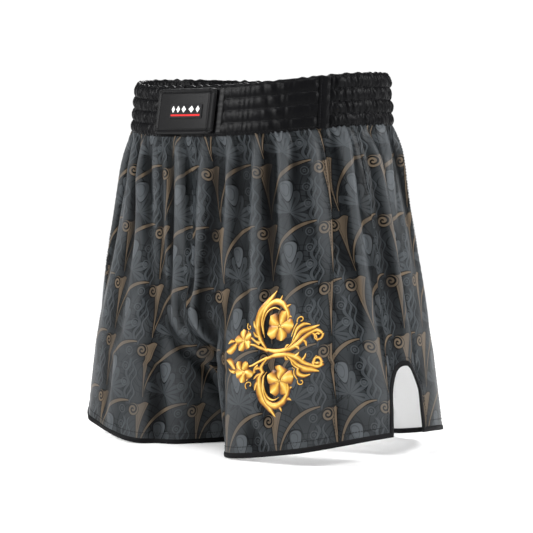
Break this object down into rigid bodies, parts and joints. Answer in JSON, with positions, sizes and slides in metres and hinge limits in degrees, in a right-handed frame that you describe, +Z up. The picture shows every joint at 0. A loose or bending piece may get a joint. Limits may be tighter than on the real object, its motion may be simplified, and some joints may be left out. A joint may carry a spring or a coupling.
{
  "type": "boxing shorts",
  "caption": "Boxing shorts with a quilted and shirred waistband, folding closure tab, bound side slits and two open legs, standing as if worn.",
  "frame": {"origin": "on the floor under the crotch, midway between the legs and between front and back of the hems", "axes": "+Z up, the wearer faces -Y, the wearer's left is +X"},
  "size_m": [0.4628, 0.246, 0.4249],
  "materials": {
    "printed_satin": "satin, scroll print outside and white inside",
    "black_satin": "satin",
    "binding_tape": "matt woven tape",
    "elastic": "ribbed woven elastic",
    "hook_loop": "hook and loop pile",
    "tab_satin": "smooth satin over foam",
    "woven_label": "woven label"
  },
  "bodies": {
    "garment": {"left_front_panel": "printed_satin", "left_side_panel": "printed_satin", "left_back_panel": "printed_satin", "right_front_panel": "printed_satin", "right_side_panel": "printed_satin", "right_back_panel": "printed_satin", "left_crotch_gusset": "printed_satin", "right_crotch_gusset": "printed_satin", "left_front_hem_binding": "binding_tape", "left_back_hem_binding": "binding_tape", "left_slit_binding": "binding_tape", "right_front_hem_binding": "binding_tape", "right_back_hem_binding": "binding_tape", "right_slit_binding": "binding_tape", "waistband_front_panel": "black_satin", "waistband_left_shirring": "black_satin", "waistband_right_shirring": "black_satin", "waistband_joining_strip": "tab_satin", "waistband_inner_facing": "black_satin", "waist_seam_tape": "binding_tape", "elastic_row_1": "elastic", "elastic_row_2": "elastic", "elastic_row_3": "elastic", "elastic_row_4": "elastic", "tab_loop_patch": "hook_loop", "tab_hinge_fold": "tab_satin"},
    "tab": {"closure_tab": "tab_satin", "tab_hook_patch": "hook_loop", "tab_badge": "woven_label"}
  },
  "joints": [
    {"name": "tab_fold", "type": "hinge", "parent": "garment", "child": "tab", "pos_m": [0.0386, -0.1105, 0.3826], "axis": [-0.004, 0.161, 0.9869], "range_deg": [0, 150]}
  ]
}
